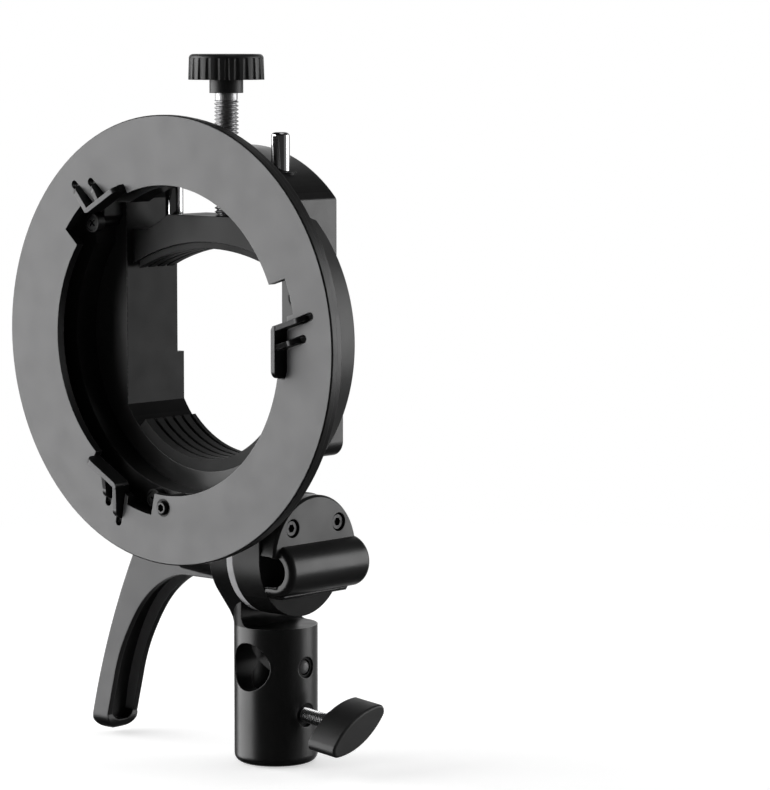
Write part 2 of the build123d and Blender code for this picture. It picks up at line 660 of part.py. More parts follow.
jaw_pad_t = 2.2
with BuildPart() as jaw_pad:
    with BuildSketch(face.offset(-(jaw_front_d + 1.0))):
        with Locations((0, jaw_arc_z)):
            Circle(jaw_arc_r)
            Circle(jaw_arc_r - jaw_pad_t, mode=Mode.SUBTRACT)
        with Locations((0, jaw_low)):
            Rectangle(2 * jaw_half_w - 4, 30, mode=Mode.INTERSECT)
    extrude(amount=-(jaw_rear_d - jaw_front_d - 2.0))
    for k in range(3):
        with BuildSketch(face.offset(-(jaw_front_d + 3.6 + 4.4 * k))):
            with Locations((0, jaw_arc_z)):
                Circle(jaw_arc_r - jaw_pad_t + 0.6)
        extrude(amount=-1.4, mode=Mode.SUBTRACT)
jaw_pad.part.label = "jaw_pad"

rods = []
for rod_name, x in (("guide_rod_left", -rod_x), ("guide_rod_right", rod_x)):
    with BuildPart() as rod:
        with BuildSketch(level(ring_z + jaw_arc_z + sqrt(jaw_arc_r ** 2 - rod_x ** 2) + 1.0, screw_y, x)):
            Circle(rod_d / 2)
        extrude(amount=rod_top - (jaw_arc_z + sqrt(jaw_arc_r ** 2 - rod_x ** 2) + 1.0))
        fillet(rod.edges().sort_by(Axis.Z)[-1], radius=1.4)
    rod.part.label = rod_name
    rods.append(rod)
guide_rod_left, guide_rod_right = rods

with BuildPart() as clamp_rod:
    with BuildSketch(level(ring_z + jaw_top + gap, screw_y)):
        Circle(clamp_d / 2)
    extrude(amount=knob_neck_low - 2.3 - jaw_top - gap)
    with BuildSketch(level(ring_z + knob_neck_low - 2.3, screw_y)):
        Circle(3.7)
    extrude(amount=2.3 + 8.0)
    with BuildSketch(level(ring_z + jaw_top + gap, screw_y)):
        Circle(3.0)
    extrude(amount=-6.6)
clamp_rod.part.label = "clamp_rod"

with BuildPart() as retaining_ring:
    with BuildSketch(level(ring_z + jaw_top - 4.2 - gap, screw_y)):
        Circle(5.2)
        Circle(3.0, mode=Mode.SUBTRACT)
    extrude(amount=-1.2)
retaining_ring.part.label = "retaining_ring"

knob_flutes = 24
with BuildPart() as clamp_knob:
    with BuildSketch(level(ring_z + knob_low, screw_y)):
        Circle(knob_r)
    extrude(amount=knob_top - knob_low, taper=2)
    fillet(clamp_knob.edges().filter_by(GeomType.CIRCLE).sort_by(Axis.Z)[-1], radius=1.4)
    with BuildSketch(level(ring_z + knob_low - 0.01, screw_y)):
        with PolarLocations(knob_r + 0.35, knob_flutes):
            Circle(0.95)
    extrude(amount=knob_top - knob_low - 1.3, mode=Mode.SUBTRACT)
    with BuildSketch(level(ring_z + knob_low, screw_y)):
        Circle(5.5)
    extrude(amount=knob_neck_low - knob_low)
    with BuildSketch(level(ring_z + knob_neck_low, screw_y)):
        Circle(3.7)
    extrude(amount=8.0, mode=Mode.SUBTRACT)
clamp_knob.part.label = "clamp_knob"

# ---------------------------------------------------------------- tilt block
neck_w = ring_y + low_d + drum_r
with BuildPart() as tilt_block:
    with BuildSketch(at_x(0)):
        Circle(drum_r)
    extrude(amount=drum_w)
    # neck: straight up from the front of the drum
    with BuildSketch(at_x(0)):
        with Locations((-drum_r, 0)):
            Rectangle(neck_w, 30, align=(Align.MIN, Align.MIN))
    extrude(amount=drum_w)
    with BuildSketch(at_x(saddle_x0)):
        with Locations((ring_y + saddle_front_d, saddle_low)):
            Rectangle(low_d - saddle_front_d, saddle_tall, align=(Align.MIN, Align.MIN))
    extrude(amount=saddle_x1 - saddle_x0)
    with BuildSketch(at_x(saddle_x0)):
        Circle(drum_r + 1.2)
    extrude(amount=-saddle_x0, mode=Mode.SUBTRACT)
    with BuildSketch(at_x(drum_w)):
        Circle(drum_r + 0.6)
    extrude(amount=10, mode=Mode.SUBTRACT)
    add(clamp_housing.part, mode=Mode.SUBTRACT)
    with BuildSketch(face):
        Circle(bottom_r - saddle_reach)
    extrude(amount=-80, mode=Mode.SUBTRACT)
    # bolt hole, hexagon pocket for its head
    with BuildSketch(at_x(0)):
        Circle(bolt_d / 2)
    extrude(amount=drum_w, mode=Mode.SUBTRACT)
    with BuildSketch(at_x(drum_w)):
        RegularPolygon(bolt_head_af / 2, 6, major_radius=False)
    extrude(amount=-bolt_head_t, mode=Mode.SUBTRACT)
    with BuildSketch(at_x(drum_w)):
        with Locations((-cover_screw_y, cover_screw_z), (cover_screw_y, cover_screw_z)):
            Circle(1.5)
    extrude(amount=-(cover_screw_grip + 1.0), mode=Mode.SUBTRACT)
    # saddle screws
    with BuildSketch(level(saddle_low_z, saddle_screw_y)):
        with Locations(*saddle_screws_at):
            Circle(2.9)
    extrude(amount=saddle_seat, mode=Mode.SUBTRACT)
    with BuildSketch(level(saddle_low_z, saddle_screw_y)):
        with Locations(*saddle_screws_at):
            Circle(1.5)
    extrude(amount=20.0, mode=Mode.SUBTRACT)
tilt_block.part.label = "tilt_block"

with BuildPart() as saddle_screws:
    with BuildSketch(level(saddle_low_z + 0.3, saddle_screw_y)):
        with Locations(*saddle_screws_at):
            Circle(2.75)
    extrude(amount=saddle_seat - 0.3)
    with BuildSketch(level(saddle_low_z + saddle_seat, saddle_screw_y)):
        with Locations(*saddle_screws_at):
            Circle(1.5)
    extrude(amount=saddle_screw_top - saddle_low_z - saddle_seat)
    with BuildSketch(level(saddle_low_z + 0.3, saddle_screw_y)):
        with Locations(*saddle_screws_at):
            RegularPolygon(1.25, 6, major_radius=False)
    extrude(amount=1.5, mode=Mode.SUBTRACT)
saddle_screws.part.label = "saddle_screws"

with BuildPart() as tilt_bolt:
    with BuildSketch(at_x(drum_w)):
        RegularPolygon(bolt_head_af / 2, 6, major_radius=False)
    extrude(amount=-bolt_head_t)
    with BuildSketch(at_x(drum_w - bolt_head_t)):
        Circle(bolt_d / 2)
    extrude(amount=-(drum_w - bolt_head_t - hub_x + bolt_in_hub))
tilt_bolt.part.label = "tilt_bolt"

# ---------------------------------------------------------------- umbrella cover
cover_face_x = drum_w + cover_t
cover_low = channel_z - channel_r - channel_wall - 0.9
cover_seat = 3.4          # depth of the screws' counterbores
cover_seat_r = 3.1
channel_round = 2.2
channel_out_r = channel_r + channel_wall
channel_plane = Plane(origin=(0, -channel_front, tilt_z), x_dir=(1, 0, 0), z_dir=(0, -1, 0))
with BuildPart() as umbrella_cover:
    with BuildSketch(at_x(drum_w)):
        Circle(drum_r - 0.4)
        with Locations((0, cover_low)):
            Rectangle(3 * drum_r, 3 * drum_r, align=(Align.CENTER, Align.MIN), mode=Mode.INTERSECT)
    extrude(amount=cover_t)
    chamfer(umbrella_cover.faces().sort_by(Axis.X)[-1].edges(), length=0.8)
    with BuildPart(mode=Mode.PRIVATE) as channel:
        with BuildSketch(channel_plane):
            with Locations((channel_x, channel_z)):
                Circle(channel_out_r)
            with Locations((drum_w, channel_z)):
                Rectangle(channel_x - drum_w, 2 * channel_out_r, align=(Align.MIN, Align.CENTER))
            with Locations((drum_w, 0)):
                Rectangle(40, 80, align=(Align.MIN, Align.CENTER), mode=Mode.INTERSECT)
        extrude(amount=-(channel_front + channel_rear))
        for end_face in (channel.faces().sort_by(Axis.Y)[0], channel.faces().sort_by(Axis.Y)[-1]):
            fillet(end_face.edges().sort_by(Axis.X)[1:], radius=channel_round)
    add(channel.part)
    with BuildSketch(channel_plane.offset(5)):
        with Locations((channel_x, channel_z)):
            Circle(channel_r)
        with Locations((drum_w, channel_z)):
            Rectangle(channel_x - drum_w, 2 * channel_r, align=(Align.MIN, Align.CENTER))
        with Locations((drum_w, 0)):
            Rectangle(40, 80, align=(Align.MIN, Align.CENTER), mode=Mode.INTERSECT)
    extrude(amount=-(channel_front + channel_rear + 10), mode=Mode.SUBTRACT)
    # screw seats
    with BuildSketch(at_x(cover_face_x)):
        with Locations((-cover_screw_y, cover_screw_z), (cover_screw_y, cover_screw_z)):
            Circle(cover_seat_r)
    extrude(amount=-cover_seat, mode=Mode.SUBTRACT)
    with BuildSketch(at_x(drum_w)):
        with Locations((-cover_screw_y, cover_screw_z), (cover_screw_y, cover_screw_z)):
            Circle(1.5)
    extrude(amount=cover_t, mode=Mode.SUBTRACT)
umbrella_cover.part.label = "umbrella_cover"

with BuildPart() as cover_screws:
    with BuildSketch(at_x(cover_face_x - cover_seat)):
        with Locations((-cover_screw_y, cover_screw_z), (cover_screw_y, cover_screw_z)):
            Circle(2.45)
    extrude(amount=2.7)
    with BuildSketch(at_x(cover_face_x - cover_seat)):
        with Locations((-cover_screw_y, cover_screw_z), (cover_screw_y, cover_screw_z)):
            Circle(1.5)
    extrude(amount=-(cover_t - cover_seat + cover_screw_grip))
    with BuildSketch(at_x(cover_face_x - 0.7)):
        with Locations((-cover_screw_y, cover_screw_z), (cover_screw_y, cover_screw_z)):
            RegularPolygon(1.25, 6, major_radius=False)
    extrude(amount=-1.6, mode=Mode.SUBTRACT)
cover_screws.part.label = "cover_screws"

# ---------------------------------------------------------------- export
for piece in (socket_casting, socket_plug, screw_insert, friction_washer, wing_knob, wing_stud,
              lever_handle, lever_nut, bayonet_ring, clip_right, clip_top, clip_low, front_body,
              body_screws, pin_bush, lock_pin, pin_spring, clamp_housing, clamp_nut, cradle_pad,
              clamp_jaw, jaw_pad, guide_rod_left, guide_rod_right, clamp_rod, retaining_ring,
              clamp_knob, tilt_block, saddle_screws, tilt_bolt, umbrella_cover, cover_screws):
    export_step(piece.part, "parts/" + piece.part.label + ".step")
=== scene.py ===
"""Looks of the flash bracket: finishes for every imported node, cut threads, a coiled spring, camera, studio.

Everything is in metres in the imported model's frame: +Z up, the ring faces -Y, and the origin is the
centre of the stand socket's mouth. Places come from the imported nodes' own boxes.
"""
import json
import math
from collections import namedtuple

import bmesh
import bpy
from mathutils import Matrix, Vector


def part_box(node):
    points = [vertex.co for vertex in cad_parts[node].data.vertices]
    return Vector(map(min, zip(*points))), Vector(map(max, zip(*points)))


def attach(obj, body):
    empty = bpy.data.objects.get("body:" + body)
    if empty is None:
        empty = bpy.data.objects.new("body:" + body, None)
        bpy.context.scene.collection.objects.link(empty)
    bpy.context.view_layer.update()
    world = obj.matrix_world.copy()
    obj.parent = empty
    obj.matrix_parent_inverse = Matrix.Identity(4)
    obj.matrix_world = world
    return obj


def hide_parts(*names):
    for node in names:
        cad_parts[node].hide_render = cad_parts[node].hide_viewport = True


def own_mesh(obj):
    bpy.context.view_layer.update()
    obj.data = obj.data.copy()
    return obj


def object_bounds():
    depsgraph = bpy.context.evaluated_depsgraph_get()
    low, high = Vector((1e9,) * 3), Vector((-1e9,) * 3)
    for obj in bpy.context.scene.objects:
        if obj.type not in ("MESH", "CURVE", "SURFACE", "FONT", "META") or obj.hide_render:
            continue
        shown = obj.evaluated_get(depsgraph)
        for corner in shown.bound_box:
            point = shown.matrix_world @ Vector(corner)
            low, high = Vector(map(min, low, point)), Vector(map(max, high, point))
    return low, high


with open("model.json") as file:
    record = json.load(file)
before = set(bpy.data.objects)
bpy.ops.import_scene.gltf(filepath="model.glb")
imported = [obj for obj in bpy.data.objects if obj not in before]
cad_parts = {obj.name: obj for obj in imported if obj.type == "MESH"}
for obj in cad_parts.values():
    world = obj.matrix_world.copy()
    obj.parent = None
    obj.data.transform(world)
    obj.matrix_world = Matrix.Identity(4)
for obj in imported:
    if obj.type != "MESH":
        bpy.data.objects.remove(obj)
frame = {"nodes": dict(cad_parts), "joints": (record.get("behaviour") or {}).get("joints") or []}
cad_low, cad_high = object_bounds()
nodes = frame["nodes"]
joints = {joint["name"]: joint for joint in frame["joints"]}
MM = 0.001


# ---------------------------------------------------------------- node helpers
def add_node(tree, kind, **settings):
    """A shader node with its properties set by name, and its inputs by socket name in `inputs`."""
    node = tree.nodes.new(kind)
    for socket, value in settings.pop("inputs", {}).items():
        node.inputs[socket].default_value = value
    for name, value in settings.items():
        setattr(node, name, value)
    return node


def new_material(name):
    """A material with a bare Principled shader: returns it with its tree and the shader."""
    material = bpy.data.materials.new(name)
    material.use_nodes = True
    tree = material.node_tree
    tree.nodes.clear()
    output = tree.nodes.new("ShaderNodeOutputMaterial")
    shader = tree.nodes.new("ShaderNodeBsdfPrincipled")
    tree.links.new(shader.outputs["BSDF"], output.inputs["Surface"])
    return material, tree, shader


def place_on_part(tree):
    """The point being shaded, in the part's own coordinates."""
    return add_node(tree, "ShaderNodeTexCoord").outputs["Object"]


def split(tree, vector):
    """The X, Y and Z outputs of a vector."""
    node = add_node(tree, "ShaderNodeSeparateXYZ")
    tree.links.new(vector, node.inputs[0])
    return node.outputs


def noise(tree, feature, detail=2.0, stretch=(1, 1, 1)):
    """Noise whose blobs are about `feature` metres across, in the part's own coordinates."""
    mapping = add_node(tree, "ShaderNodeMapping", inputs={"Scale": stretch})
    texture = add_node(tree, "ShaderNodeTexNoise", inputs={"Scale": 1 / feature, "Detail": detail})
    tree.links.new(place_on_part(tree), mapping.inputs["Vector"])
    tree.links.new(mapping.outputs["Vector"], texture.inputs["Vector"])
    return texture.outputs["Fac"]


def remap(tree, value, low, high, out_low, out_high):
    """value from low..high to out_low..out_high, clamped."""
    node = add_node(tree, "ShaderNodeMapRange", clamp=True,
                    inputs={"From Min": low, "From Max": high, "To Min": out_low, "To Max": out_high})
    tree.links.new(value, node.inputs["Value"])
    return node.outputs["Result"]


def math_node(tree, operation, *values):
    """Sockets or numbers through one maths operation."""
    node = add_node(tree, "ShaderNodeMath", operation=operation)
    for socket, value in zip(node.inputs, values):
        if isinstance(value, (int, float)):
            socket.default_value = value
        else:
            tree.links.new(value, socket)
    return node.outputs["Value"]


def vector_node(tree, operation, vector, other=None):
    """A vector socket and a second, fixed vector through one vector operation."""
    node = add_node(tree, "ShaderNodeVectorMath", operation=operation)
    tree.links.new(vector, node.inputs[0])
    if other is not None:
        node.inputs[1].default_value = other
    return node


def mix_colours(tree, factor, first, second):
    """A colour between two, each a grey, a tuple or a socket. A grey comes out a little cool."""
    node = add_node(tree, "ShaderNodeMix", data_type="RGBA")
    tree.links.new(factor, node.inputs["Factor"])
    for socket, value in ((node.inputs[6], first), (node.inputs[7], second)):
        if isinstance(value, (int, float)):
            socket.default_value = (value, value, value * 1.02, 1)
        elif isinstance(value, tuple):
            socket.default_value = (*value, 1)
        else:
            tree.links.new(value, socket)
    return node.outputs[2]


def rounded_normal(tree, radius):
    """The surface normal as if every sharp edge were rounded to this radius."""
    bevel = add_node(tree, "ShaderNodeBevel", samples=6, inputs={"Radius": radius})
    return bevel.outputs["Normal"]


def true_normal(tree):
    """The face's own normal, without bevel or bump."""
    return add_node(tree, "ShaderNodeNewGeometry").outputs["True Normal"]


def edge_mask(tree, normal):
    """1 on sharp edges, 0 on the flats, from how far the rounded normal leans."""
    on_flat, on_edge = 0.995, 0.85
    agreement = add_node(tree, "ShaderNodeVectorMath", operation="DOT_PRODUCT")
    tree.links.new(normal, agreement.inputs[0])
    tree.links.new(true_normal(tree), agreement.inputs[1])
    return remap(tree, agreement.outputs["Value"], on_flat, on_edge, 0.0, 1.0)


def bump(tree, height, normal, distance):
    """The normal disturbed by a height of this many metres."""
    node = add_node(tree, "ShaderNodeBump", inputs={"Strength": 1.0, "Distance": distance})
    tree.links.new(height, node.inputs["Height"])
    tree.links.new(normal, node.inputs["Normal"])
    return node.outputs["Normal"]


# ---------------------------------------------------------------- painted shade: places with lowered gloss
# Painted shade: in recesses and under parts, walls get less gloss so that they look darker. A place is what
# lies nearer than reach to centre, counted only along the axes that spread names. There a wall's normal has a
# share along axis: at dull_lean the wall gets the lowered gloss, and at glossy_lean it is as glossy as
# elsewhere. The defaults lower the gloss on every wall of the place.
Dull = namedtuple("Dull", "spread centre reach axis glossy_lean dull_lean", defaults=("Z", -0.1, 0.0))
BY_X, BY_Z, ROUND_Y, ROUND_Z = (1, 0, 0), (0, 0, 1), (1, 0, 1), (1, 1, 0)

ring_low, ring_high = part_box("bayonet_ring")
rim_to_notch = 14 * MM        # from the rim to the floor of the entry notches
ring_radius = 0.5 * (ring_high.x - ring_low.x)
ring_bore = Dull(ROUND_Y, 0.5 * (ring_low + ring_high), ring_radius - rim_to_notch, "Y", 0.6, 0.4)

socket_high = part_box("socket_casting")[1]
skin = 0.4 * MM               # keeps the tube's outer face out
ear_height = 44.9 * MM        # from the ear's top down to the tube
socket_core = Dull(ROUND_Z, (0, 0, 0), socket_high.x - skin)
ear = Dull(BY_Z, socket_high, ear_height)

jaw_low, jaw_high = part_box("clamp_jaw")
jaw_to_wall = 1.2 * MM        # reaches the housing's inner face, and not its outer one
box_inside = Dull(BY_X, (0, 0, 0), 0.5 * (jaw_high.x - jaw_low.x) + jaw_to_wall, "X", 0.6, 0.8)

# the drum, from its lowest point up to the cover
drum_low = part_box("tilt_block")[0]
drum_foot = Dull(BY_Z, drum_low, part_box("umbrella_cover")[0].z - drum_low.z)


def painted_shade_mask(tree, places):
    """1 on the walls of these places that are painted in shade, 0 elsewhere."""
    fade = 0.2 * MM
    facing = split(tree, true_normal(tree))
    mask = 0.0
    for place in places:
        offset = vector_node(tree, "SUBTRACT", place_on_part(tree), place.centre).outputs["Vector"]
        counted = vector_node(tree, "MULTIPLY", offset, place.spread).outputs["Vector"]
        distance = vector_node(tree, "LENGTH", counted).outputs["Value"]
        near = remap(tree, distance, place.reach - fade, place.reach, 1, 0)
        lean = math_node(tree, "ABSOLUTE", facing[place.axis])
        wall = math_node(tree, "MULTIPLY", near, remap(tree, lean, place.glossy_lean, place.dull_lean, 0, 1))
        mask = math_node(tree, "MAXIMUM", mask, wall)
    return mask


# ---------------------------------------------------------------- finishes
noise_low, noise_high = 0.3, 0.7         # most of what noise gives lies between them
cloud_size = 28 * MM          # of faint blotches in the colour
smudge_size = 9 * MM          # of patches in the gloss
smoother, rougher = 0.04, 0.05           # than the finish's own roughness
edge_spot_size = 0.9 * MM          # of spots along edges, partly wear and partly a painted highlight
spot_begins, spot_full = 0.5, 0.62      # noise at which a spot begins and is full
off_front, on_front = -0.95, -0.99       # share of the normal along Y at which the painted front highlight begins and is full
# gloss of the walls painted in shade
shade_specular = 0.1


def coated(name, grey, rough, grain=0.35 * MM, grain_height=0.012 * MM, blotch=0.12, round_edges=0.35 * MM,
           wear_and_glint=0.0, worn_and_glint_grey=0.3, specular=0.5, lit_face_grey=None, dull=()):
    """Painted or moulded black: fine grain, faint blotches, softened edges, and lighter spots on them that
    are partly wear and partly a painted edge highlight.
    lit_face_grey is a painted highlight, a lighter grey on what faces the front, and dull lists places
    painted in shade by lower gloss."""
    material, tree, shader = new_material(name)
    shader.inputs["Specular IOR Level"].default_value = specular
    normal = rounded_normal(tree, round_edges)
    cloud = remap(tree, noise(tree, cloud_size, detail=4.0), noise_low, noise_high, 0, 1)
    colour = mix_colours(tree, cloud, grey * (1 - blotch), grey * (1 + blotch))
    # painted shade: less gloss on the walls of the shaded places
    if dull:
        gloss = remap(tree, painted_shade_mask(tree, dull), 0, 1, specular, shade_specular)
        tree.links.new(gloss, shader.inputs["Specular IOR Level"])
    # painted highlight: faces towards the front get the lighter lit_face_grey, standing in for the front
    # lamp's sheen
    if lit_face_grey is not None:
        front = remap(tree, split(tree, true_normal(tree))["Y"], off_front, on_front, 0, 1)
        colour = mix_colours(tree, front, colour, lit_face_grey)
    # lighter spots on sharp edges: partly real wear, partly a painted edge highlight
    if wear_and_glint > 0:
        edge_spots = remap(tree, noise(tree, edge_spot_size, detail=5.0), spot_begins, spot_full, 0, 1)
        worn_and_glinting_edges = math_node(tree, "MULTIPLY", edge_mask(tree, normal), edge_spots)
        colour = mix_colours(tree, math_node(tree, "MULTIPLY", worn_and_glinting_edges, wear_and_glint), colour, worn_and_glint_grey)
    tree.links.new(colour, shader.inputs["Base Color"])
    smudge = noise(tree, smudge_size, detail=3.0)
    patchy = remap(tree, smudge, noise_low, noise_high, rough - smoother, rough + rougher)
    tree.links.new(patchy, shader.inputs["Roughness"])
    tree.links.new(bump(tree, noise(tree, grain, detail=3.0), normal, grain_height), shader.inputs["Normal"])
    return material


def metal(name, grey, rough, brushed=(1, 1, 1), round_edges=0.15 * MM, tint=(1, 1, 1.01)):
    """Bare or plated metal with fine marks, squeezed along an axis by its number in `brushed`."""
    brightest = 0.98
    darker, brighter = 0.9, 1.06
    polished, scuffed = 0.8, 1.25
    mark_size, mark_height = 1.2 * MM, 0.002 * MM
    material, tree, shader = new_material(name)
    streak = noise(tree, mark_size, detail=3.0, stretch=brushed)
    low = tuple(grey * darker * c for c in tint)
    high = tuple(min(grey * brighter * c, brightest) for c in tint)
    tree.links.new(mix_colours(tree, streak, low, high), shader.inputs["Base Color"])
    marked = remap(tree, streak, noise_low, noise_high, rough * polished, rough * scuffed)
    tree.links.new(marked, shader.inputs["Roughness"])
    shader.inputs["Metallic"].default_value = 1.0
    normal = rounded_normal(tree, round_edges)
    tree.links.new(bump(tree, streak, normal, mark_height), shader.inputs["Normal"])
    return material


# cast and painted
# lit_face_grey paints a highlight on front faces, dull paint shade into recesses by lowering gloss, and the
# edge spots are partly a painted highlight
ring_paint = coated("ring_paint", grey=0.008, rough=0.4, wear_and_glint=0.3, specular=0.6, lit_face_grey=0.095,
                    dull=[ring_bore])
cast_paint = coated("cast_paint", grey=0.008, rough=0.32, blotch=0.1, wear_and_glint=0.3, dull=[socket_core, ear])
housing_paint = coated("housing_paint", grey=0.008, rough=0.32, blotch=0.1, wear_and_glint=0.3, dull=[box_inside])
tilt_paint = coated("tilt_paint", grey=0.008, rough=0.42, blotch=0.1, wear_and_glint=0.3, specular=0.3,
                    dull=[drum_foot])
jaw_paint = coated("jaw_paint", grey=0.008, rough=0.4, blotch=0.1, wear_and_glint=0.3, specular=0.22)
cover_paint = coated("cover_paint", grey=0.008, rough=0.32, blotch=0.08, wear_and_glint=0.3)
lever_paint = coated("lever_paint", grey=0.006, rough=0.4, wear_and_glint=0.1, round_edges=0.6 * MM, specular=0.4,
                     lit_face_grey=0.09)

# moulded
body_plastic = coated("body_plastic", grey=0.006, rough=0.45, blotch=0.1, grain=0.25 * MM, specular=0.35)
knob_plastic = coated("knob_plastic", grey=0.014, rough=0.4, blotch=0.06, grain=0.25 * MM,
                      round_edges=0.5 * MM)
pad_rubber = coated("pad_rubber", grey=0.012, rough=0.6, blotch=0.15, grain=0.5 * MM, grain_height=0.03 * MM,
                    specular=0.35)
plug_nylon = coated("plug_nylon", grey=0.12, rough=0.38, blotch=0.05)
washer_nylon = coated("washer_nylon", grey=0.5, rough=0.35, blotch=0.05)

# blackened and bare metal
# on the clips and screw heads the lighter edge spots serve mostly as painted edge highlights
clip_steel = coated("clip_steel", grey=0.006, rough=0.34, blotch=0.1, round_edges=0.3 * MM, wear_and_glint=0.5,
                    worn_and_glint_grey=0.4, specular=0.3, lit_face_grey=0.14)
blued_steel = coated("blued_steel", grey=0.004, rough=0.4, round_edges=0.15 * MM, wear_and_glint=0.6, worn_and_glint_grey=0.4,
                     specular=0.2)
dark_steel = metal("dark_steel", grey=0.06, rough=0.35)
pin_steel = metal("pin_steel", grey=0.5, rough=0.28)
bright_rod = metal("bright_rod", grey=0.75, rough=0.1, brushed=(1, 1, 14))
rolled_thread = metal("rolled_thread", grey=0.5, rough=0.42)
stud_steel = metal("stud_steel", grey=0.5, rough=0.25)
nut_brass = metal("nut_brass", grey=0.75, rough=0.3, tint=(1, 0.78, 0.42))

finishes = {
    ring_paint: ["bayonet_ring"],
    clip_steel: ["clip_right", "clip_top", "clip_low"],
    blued_steel: ["pin_bush", "screw_insert", "body_screws"],
    body_plastic: ["front_body"],
    cast_paint: ["socket_casting"],
    housing_paint: ["clamp_housing"],
    tilt_paint: ["tilt_block"],
    jaw_paint: ["clamp_jaw"],
    cover_paint: ["umbrella_cover"],
    lever_paint: ["lever_handle"],
    knob_plastic: ["clamp_knob", "wing_knob"],
    pad_rubber: ["cradle_pad", "jaw_pad"],
    plug_nylon: ["socket_plug"],
    washer_nylon: ["friction_washer"],
    dark_steel: ["cover_screws", "saddle_screws", "lock_pin", "retaining_ring"],
    pin_steel: ["pin_spring", "tilt_bolt", "lever_nut"],
    bright_rod: ["guide_rod_left", "guide_rod_right"],
    nut_brass: ["clamp_nut"],
}
for material, names in finishes.items():
    for name in names:
        slots = nodes[name].data.materials
        slots.clear()
        slots.append(material)


# ---------------------------------------------------------------- cut threads
def mesh_piece(name, form, material):
    """The finished form as an object in the scene, with this material."""
    bmesh.ops.recalc_face_normals(form, faces=form.faces)
    mesh = bpy.data.meshes.new(name)
    form.to_mesh(mesh)
    form.free()
    mesh.materials.append(material)
    piece = bpy.data.objects.new(name, mesh)
    bpy.context.scene.collection.objects.link(piece)
    return piece


def thread_rows(start, length, radius, pitch, steps):
    """Rows of (height, radius) round a rod, each one turn of a helix: crest, flank, root and flank."""
    depth = 0.6 * pitch
    profile = ((0.0, 0.0), (0.12, 0.0), (0.5, depth), (0.62, depth))
    rows = []
    for k in range(-1, int(length / pitch) + 2):
        for share, cut in profile:
            row = []
            for i in range(steps + 1):
                z = start + (k + share + i / steps) * pitch
                inside = start < z < start + length
                z = min(max(z, start), start + length)
                row.append((z, radius - (cut if inside else depth / 2)))
            rows.append(row)
    return rows


def threaded_rod(name, base, direction, sections, material, steps=36):
    """A round rod along direction from base. sections are (length, radius, pitch) in metres, one after
    another: pitch 0 is plain, any other is a helical thread cut into the radius."""
    rows = []
    start = 0.0
    for length, radius, pitch in sections:
        if pitch == 0:
            rows.append([(start, radius)] * (steps + 1))
            rows.append([(start + length, radius)] * (steps + 1))
        else:
            rows.extend(thread_rows(start, length, radius, pitch, steps))
        start += length
    turn = Vector((0, 0, 1)).rotation_difference(Vector(direction).normalized()).to_matrix()

    def corner(i, z, r):
        angle = 2 * math.pi * i / steps
        return Vector(base) + turn @ Vector((r * math.cos(angle), r * math.sin(angle), z))

    form = bmesh.new()
    grid = [[form.verts.new(corner(i, z, r)) for i, (z, r) in enumerate(row)] for row in rows]
    for lower, upper in zip(grid, grid[1:]):
        for i in range(steps):
            form.faces.new((lower[i], lower[i + 1], upper[i + 1], upper[i]))
    for row in (grid[0], grid[-1]):
        tip = form.verts.new(sum((v.co for v in row[:-1]), Vector()) / steps)
        for i in range(steps):
            form.faces.new((tip, row[i], row[i + 1]))
    bmesh.ops.remove_doubles(form, verts=form.verts, dist=0.002 * MM)
    return mesh_piece(name, form, material)


journal_radius = 3.0 * MM     # in the jaw
jaw_gap = 0.3 * MM            # from the jaw to the thread
clamp_radius = 4.0 * MM
clamp_pitch = 1.25 * MM
neck_radius = 3.7 * MM        # plain, in the knob and a little below it
bare_neck = 2.3 * MM          # below the knob
rod_low, rod_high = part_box("clamp_rod")
rod_foot = ((rod_low.x + rod_high.x) / 2, (rod_low.y + rod_high.y) / 2, rod_low.z)
journal = jaw_high.z + jaw_gap - rod_low.z
neck = rod_high.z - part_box("clamp_knob")[0].z + bare_neck
clamp_length = rod_high.z - rod_low.z - journal - neck
rod_sections = [(journal, journal_radius, 0), (clamp_length, clamp_radius, clamp_pitch),
                (neck, neck_radius, 0)]
clamp_thread = threaded_rod("clamp_thread", rod_foot, (0, 0, 1), rod_sections, rolled_thread)
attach(clamp_thread, "clamp_screw")
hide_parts("clamp_rod")

stud_radius = 2.5 * MM
stud_pitch = 0.8 * MM
screw_axis = Vector(joints["wing_travel"]["axis"]).normalized()
stud_low, stud_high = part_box("wing_stud")
stud_middle = (stud_low + stud_high) / 2
stud_middle.y = 0
stud_length = (stud_high.x - stud_low.x - 2 * stud_radius * abs(screw_axis.z)) / screw_axis.x
stud_sections = [(stud_length, stud_radius, stud_pitch)]
stud_foot = stud_middle - screw_axis * stud_length / 2
wing_thread = threaded_rod("wing_thread", stud_foot, screw_axis, stud_sections, stud_steel, steps=30)
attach(wing_thread, "wing_screw")
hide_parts("wing_stud")


# ---------------------------------------------------------------- lock pin's spring
def coil_spring(name, front, rear_y, radius, wire, turns, material, steps=24, sides=10):
    """A coil of round wire about a line along +Y, from the point front to rear_y."""
    form = bmesh.new()
    rows = []
    for i in range(turns * steps + 1):
        angle = 2 * math.pi * i / steps
        outward = Vector((math.cos(angle), 0, math.sin(angle)))
        y = front.y + wire / 2 + (rear_y - front.y - wire) * i / (turns * steps)
        middle_line = Vector((front.x, y, front.z)) + outward * radius
        row = []
        for k in range(sides):
            turn = 2 * math.pi * k / sides
            offset = outward * math.cos(turn) + Vector((0, math.sin(turn), 0))
            row.append(form.verts.new(middle_line + offset * wire / 2))
        rows.append(row)
    for first, second in zip(rows, rows[1:]):
        for k in range(sides):
            side = form.faces.new((first[k], first[k - 1], second[k - 1], second[k]))
            side.smooth = True
    form.faces.new(rows[0])
    form.faces.new(rows[-1])
    return mesh_piece(name, form, material)


